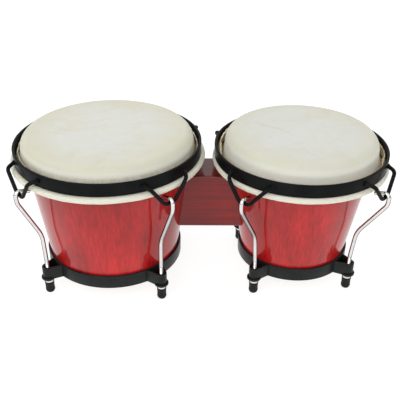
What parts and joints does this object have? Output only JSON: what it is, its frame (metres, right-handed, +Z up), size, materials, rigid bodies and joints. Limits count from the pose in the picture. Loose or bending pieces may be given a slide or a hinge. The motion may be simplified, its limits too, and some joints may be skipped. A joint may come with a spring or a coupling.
{
  "type": "bongo drums",
  "caption": "Joined pair of open-bottomed hand drums with rawhide heads, steel rims, hooked tuning rods and a wooden block between the shells.",
  "frame": {"origin": "on the floor, under the middle of the bounding box", "axes": "+X from the large drum to the small one, +Z up, -Y towards the player side that is the front"},
  "size_m": [0.4468, 0.2288, 0.1891],
  "materials": {
    "shell_wood": "translucent red stain under clear gloss lacquer",
    "block_wood": "dark red stain under clear gloss lacquer",
    "rawhide": "natural mottled rawhide, semi-matt",
    "black_steel": "black powder coat, semi-gloss",
    "chrome": "bright chrome plate",
    "plain_steel": "zinc-plated steel, satin",
    "rubber": "matt moulded rubber"
  },
  "bodies": {
    "root": {"large_shell": "shell_wood", "large_head_skin": "rawhide", "large_skin_collar": "rawhide", "large_bottom_ring": "black_steel", "large_washer_front_outer": "chrome", "large_washer_front_inner": "chrome", "large_washer_back_inner": "chrome", "large_washer_back_outer": "chrome", "large_bolt_plate": "plain_steel", "large_block_bolt_lower": "plain_steel", "large_block_bolt_upper": "plain_steel", "small_shell": "shell_wood", "small_head_skin": "rawhide", "small_skin_collar": "rawhide", "small_bottom_ring": "black_steel", "small_washer_front_outer": "chrome", "small_washer_front_inner": "chrome", "small_washer_back_inner": "chrome", "small_washer_back_outer": "chrome", "small_bolt_plate": "plain_steel", "small_block_bolt_lower": "plain_steel", "small_block_bolt_upper": "plain_steel", "centre_block": "block_wood"},
    "large_rim_assembly": {"large_flesh_hoop": "plain_steel", "large_rim": "black_steel", "large_bail_front_outer": "black_steel", "large_tuning_rod_front_outer": "chrome", "large_bail_front_inner": "black_steel", "large_tuning_rod_front_inner": "chrome", "large_bail_back_inner": "black_steel", "large_tuning_rod_back_inner": "chrome", "large_bail_back_outer": "black_steel", "large_tuning_rod_back_outer": "chrome"},
    "large_nut_front_outer_body": {"large_nut_front_outer": "chrome", "large_rubber_cap_front_outer": "rubber"},
    "large_nut_front_inner_body": {"large_nut_front_inner": "chrome", "large_rubber_cap_front_inner": "rubber"},
    "large_nut_back_inner_body": {"large_nut_back_inner": "chrome", "large_rubber_cap_back_inner": "rubber"},
    "large_nut_back_outer_body": {"large_nut_back_outer": "chrome", "large_rubber_cap_back_outer": "rubber"},
    "small_rim_assembly": {"small_flesh_hoop": "plain_steel", "small_rim": "black_steel", "small_bail_front_outer": "black_steel", "small_tuning_rod_front_outer": "chrome", "small_bail_front_inner": "black_steel", "small_tuning_rod_front_inner": "chrome", "small_bail_back_inner": "black_steel", "small_tuning_rod_back_inner": "chrome", "small_bail_back_outer": "black_steel", "small_tuning_rod_back_outer": "chrome"},
    "small_nut_front_outer_body": {"small_nut_front_outer": "chrome", "small_rubber_cap_front_outer": "rubber"},
    "small_nut_front_inner_body": {"small_nut_front_inner": "chrome", "small_rubber_cap_front_inner": "rubber"},
    "small_nut_back_inner_body": {"small_nut_back_inner": "chrome", "small_rubber_cap_back_inner": "rubber"},
    "small_nut_back_outer_body": {"small_nut_back_outer": "chrome", "small_rubber_cap_back_outer": "rubber"}
  },
  "joints": [
    {"name": "large_rim_slide", "type": "slide", "parent": "root", "child": "large_rim_assembly", "axis": [0, 0, 1], "range_m": [-0.004, 0.003], "deforming": ["large_skin_collar"]},
    {"name": "large_nut_front_outer_turn", "type": "hinge", "parent": "root", "child": "large_nut_front_outer_body", "pos_m": [-0.18377, -0.06274, 0.012], "axis": [0, 0, 1], "range_deg": [-1400, 1850]},
    {"name": "large_nut_front_inner_turn", "type": "hinge", "parent": "root", "child": "large_nut_front_inner_body", "pos_m": [-0.04626, -0.07477, 0.012], "axis": [0, 0, 1], "range_deg": [-1400, 1850]},
    {"name": "large_nut_back_inner_turn", "type": "hinge", "parent": "root", "child": "large_nut_back_inner_body", "pos_m": [-0.03423, 0.06274, 0.012], "axis": [0, 0, 1], "range_deg": [-1400, 1850]},
    {"name": "large_nut_back_outer_turn", "type": "hinge", "parent": "root", "child": "large_nut_back_outer_body", "pos_m": [-0.17174, 0.07477, 0.012], "axis": [0, 0, 1], "range_deg": [-1400, 1850]},
    {"name": "small_rim_slide", "type": "slide", "parent": "root", "child": "small_rim_assembly", "axis": [0, 0, 1], "range_m": [-0.004, 0.003], "deforming": ["small_skin_collar"]},
    {"name": "small_nut_front_outer_turn", "type": "hinge", "parent": "root", "child": "small_nut_front_outer_body", "pos_m": [0.18202, -0.05297, 0.012], "axis": [0, 0, 1], "range_deg": [-1400, 1850]},
    {"name": "small_nut_front_inner_turn", "type": "hinge", "parent": "root", "child": "small_nut_front_inner_body", "pos_m": [0.06593, -0.06312, 0.012], "axis": [0, 0, 1], "range_deg": [-1400, 1850]},
    {"name": "small_nut_back_inner_turn", "type": "hinge", "parent": "root", "child": "small_nut_back_inner_body", "pos_m": [0.05578, 0.05297, 0.012], "axis": [0, 0, 1], "range_deg": [-1400, 1850]},
    {"name": "small_nut_back_outer_turn", "type": "hinge", "parent": "root", "child": "small_nut_back_outer_body", "pos_m": [0.17187, 0.06312, 0.012], "axis": [0, 0, 1], "range_deg": [-1400, 1850]}
  ],
  "couplings": [
    {"joint": "large_nut_front_outer_turn", "follows": "large_rim_slide", "rad_per_m": -7854},
    {"joint": "large_nut_front_inner_turn", "follows": "large_rim_slide", "rad_per_m": -7854},
    {"joint": "large_nut_back_inner_turn", "follows": "large_rim_slide", "rad_per_m": -7854},
    {"joint": "large_nut_back_outer_turn", "follows": "large_rim_slide", "rad_per_m": -7854},
    {"joint": "small_nut_front_outer_turn", "follows": "small_rim_slide", "rad_per_m": -7854},
    {"joint": "small_nut_front_inner_turn", "follows": "small_rim_slide", "rad_per_m": -7854},
    {"joint": "small_nut_back_inner_turn", "follows": "small_rim_slide", "rad_per_m": -7854},
    {"joint": "small_nut_back_outer_turn", "follows": "small_rim_slide", "rad_per_m": -7854}
  ]
}
